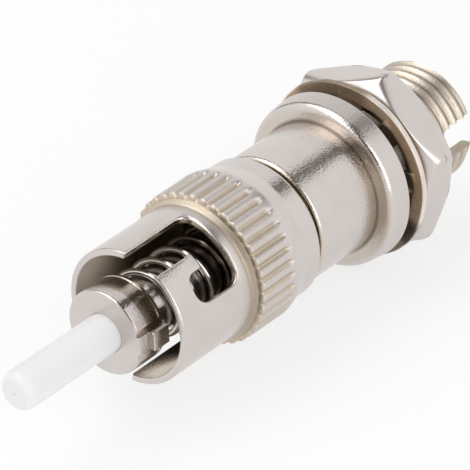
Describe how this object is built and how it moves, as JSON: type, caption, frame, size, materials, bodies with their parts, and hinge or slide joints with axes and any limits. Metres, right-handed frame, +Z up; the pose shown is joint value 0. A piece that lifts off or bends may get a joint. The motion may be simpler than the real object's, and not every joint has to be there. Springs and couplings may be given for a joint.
{
  "type": "fibre optic adapter",
  "caption": "Hybrid fibre adapter: a sprung bayonet plug with a white ferrule on one side, a threaded keyed socket on the other, with a panel flange, lock washer and hex nut between.",
  "frame": {"origin": "on the optical axis, in the plane of the flange's rear face, which seats on a panel", "axes": "+X along the optical axis from the bayonet plug to the threaded socket, +Z up"},
  "size_m": [0.0385, 0.0122, 0.0124],
  "materials": {
    "nickel_plate": "satin-polished nickel plate on brass",
    "washer_plate": "dull worn plate",
    "spring_wire": "bright drawn wire",
    "zirconia": "polished white ceramic",
    "silica": "clear"
  },
  "bodies": {
    "adapter_body": {"st_ferrule": "zirconia", "ferrule_holder": "nickel_plate", "coil_spring": "spring_wire", "body_barrel": "nickel_plate", "fc_housing": "nickel_plate", "sleeve_holder": "nickel_plate", "split_sleeve": "zirconia", "fc_stub_ferrule": "zirconia", "optical_fibre": "silica"},
    "nut_carriage": {"thrust_washer": "nickel_plate"},
    "coupling_nut": {"bayonet_nut": "nickel_plate"},
    "washer_carriage": {"lock_washer": "washer_plate"},
    "panel_nut": {"hex_nut": "nickel_plate"}
  },
  "joints": [
    {"name": "nut_slide", "type": "slide", "parent": "adapter_body", "child": "nut_carriage", "axis": [-1, 0, 0], "range_m": [0, 0.0026], "stiffness_N_per_m": 600, "deforming": ["coil_spring"]},
    {"name": "nut_turn", "type": "hinge", "parent": "nut_carriage", "child": "coupling_nut", "pos_m": [-0.0136, 0, 0], "axis": [1, 0, 0], "continuous": true},
    {"name": "nut_travel", "type": "slide", "parent": "adapter_body", "child": "washer_carriage", "axis": [1, 0, 0], "range_m": [-0.0004, 0.0043]},
    {"name": "hex_turn", "type": "hinge", "parent": "washer_carriage", "child": "panel_nut", "pos_m": [0.00308, 0, 0], "axis": [1, 0, 0], "range_deg": [-192, 2064]}
  ],
  "couplings": [
    {"joint": "hex_turn", "follows": "nut_travel", "rad_per_m": 8377.6}
  ]
}
